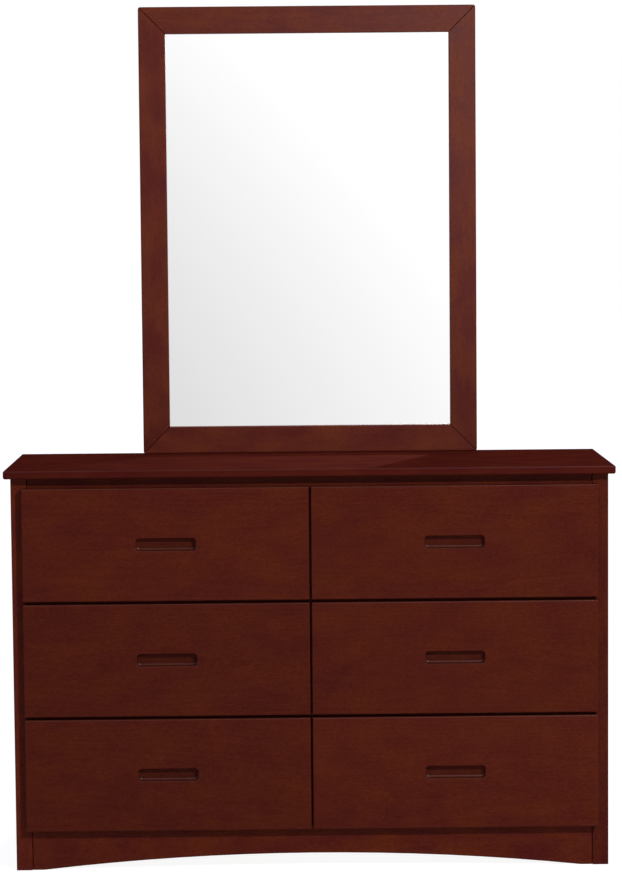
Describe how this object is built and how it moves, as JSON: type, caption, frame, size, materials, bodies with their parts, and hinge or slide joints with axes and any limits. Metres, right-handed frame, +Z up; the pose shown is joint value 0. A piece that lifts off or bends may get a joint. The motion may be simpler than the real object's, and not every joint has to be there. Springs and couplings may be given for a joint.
{
  "type": "dresser with mirror",
  "caption": "Wide low dresser with two columns of drawers, routed finger pulls and an arched base rail, carrying a tall fixed mirror in a mitred frame.",
  "frame": {"origin": "on the floor under the middle of the whole object's box", "axes": "+X to the viewer's right, -Y out of the drawer fronts, +Z up"},
  "size_m": [1.2, 0.42, 1.723],
  "materials": {
    "stained_pine": "red-brown stain under satin lacquer",
    "bare_pine": "planed, unfinished",
    "beech": "planed, waxed",
    "plywood": "sanded, unfinished",
    "hardboard": "pressed, smooth one side",
    "mirror": "silvered float glass",
    "zinc_steel": "zinc plated"
  },
  "bodies": {
    "cabinet": {"top_panel": "stained_pine", "right_side_panel": "stained_pine", "left_side_panel": "stained_pine", "right_front_stile": "stained_pine", "left_front_stile": "stained_pine", "centre_front_stile": "stained_pine", "top_front_rail": "stained_pine", "arched_base_rail": "stained_pine", "lower_front_rails": "stained_pine", "upper_front_rails": "stained_pine", "centre_partition": "bare_pine", "rear_top_rail": "bare_pine", "rear_middle_rail": "bare_pine", "rear_base_rail": "bare_pine", "back_panel": "hardboard", "corner_blocks": "bare_pine", "right_side_runners": "beech", "left_side_runners": "beech", "partition_right_runners": "beech", "partition_left_runners": "beech", "mirror_bottom_rail": "stained_pine", "mirror_top_rail": "stained_pine", "mirror_left_stile": "stained_pine", "mirror_right_stile": "stained_pine", "mirror_glass": "mirror", "mirror_backing": "hardboard", "backing_clips": "zinc_steel", "right_mirror_support": "stained_pine", "left_mirror_support": "stained_pine", "mirror_support_screws": "zinc_steel"},
    "top_left_drawer": {"top_left_drawer_front": "stained_pine", "top_left_drawer_right_side": "bare_pine", "top_left_drawer_left_side": "bare_pine", "top_left_drawer_back": "bare_pine", "top_left_drawer_bottom": "plywood"},
    "top_right_drawer": {"top_right_drawer_front": "stained_pine", "top_right_drawer_left_side": "bare_pine", "top_right_drawer_right_side": "bare_pine", "top_right_drawer_back": "bare_pine", "top_right_drawer_bottom": "plywood"},
    "middle_left_drawer": {"middle_left_drawer_front": "stained_pine", "middle_left_drawer_right_side": "bare_pine", "middle_left_drawer_left_side": "bare_pine", "middle_left_drawer_back": "bare_pine", "middle_left_drawer_bottom": "plywood"},
    "middle_right_drawer": {"middle_right_drawer_front": "stained_pine", "middle_right_drawer_left_side": "bare_pine", "middle_right_drawer_right_side": "bare_pine", "middle_right_drawer_back": "bare_pine", "middle_right_drawer_bottom": "plywood"},
    "bottom_left_drawer": {"bottom_left_drawer_front": "stained_pine", "bottom_left_drawer_right_side": "bare_pine", "bottom_left_drawer_left_side": "bare_pine", "bottom_left_drawer_back": "bare_pine", "bottom_left_drawer_bottom": "plywood"},
    "bottom_right_drawer": {"bottom_right_drawer_front": "stained_pine", "bottom_right_drawer_left_side": "bare_pine", "bottom_right_drawer_right_side": "bare_pine", "bottom_right_drawer_back": "bare_pine", "bottom_right_drawer_bottom": "plywood"}
  },
  "joints": [
    {"name": "top_left_drawer_slide", "type": "slide", "parent": "cabinet", "child": "top_left_drawer", "axis": [0, -1, 0], "range_m": [0, 0.27]},
    {"name": "top_right_drawer_slide", "type": "slide", "parent": "cabinet", "child": "top_right_drawer", "axis": [0, -1, 0], "range_m": [0, 0.27]},
    {"name": "middle_left_drawer_slide", "type": "slide", "parent": "cabinet", "child": "middle_left_drawer", "axis": [0, -1, 0], "range_m": [0, 0.27]},
    {"name": "middle_right_drawer_slide", "type": "slide", "parent": "cabinet", "child": "middle_right_drawer", "axis": [0, -1, 0], "range_m": [0, 0.27]},
    {"name": "bottom_left_drawer_slide", "type": "slide", "parent": "cabinet", "child": "bottom_left_drawer", "axis": [0, -1, 0], "range_m": [0, 0.27]},
    {"name": "bottom_right_drawer_slide", "type": "slide", "parent": "cabinet", "child": "bottom_right_drawer", "axis": [0, -1, 0], "range_m": [0, 0.27]}
  ]
}
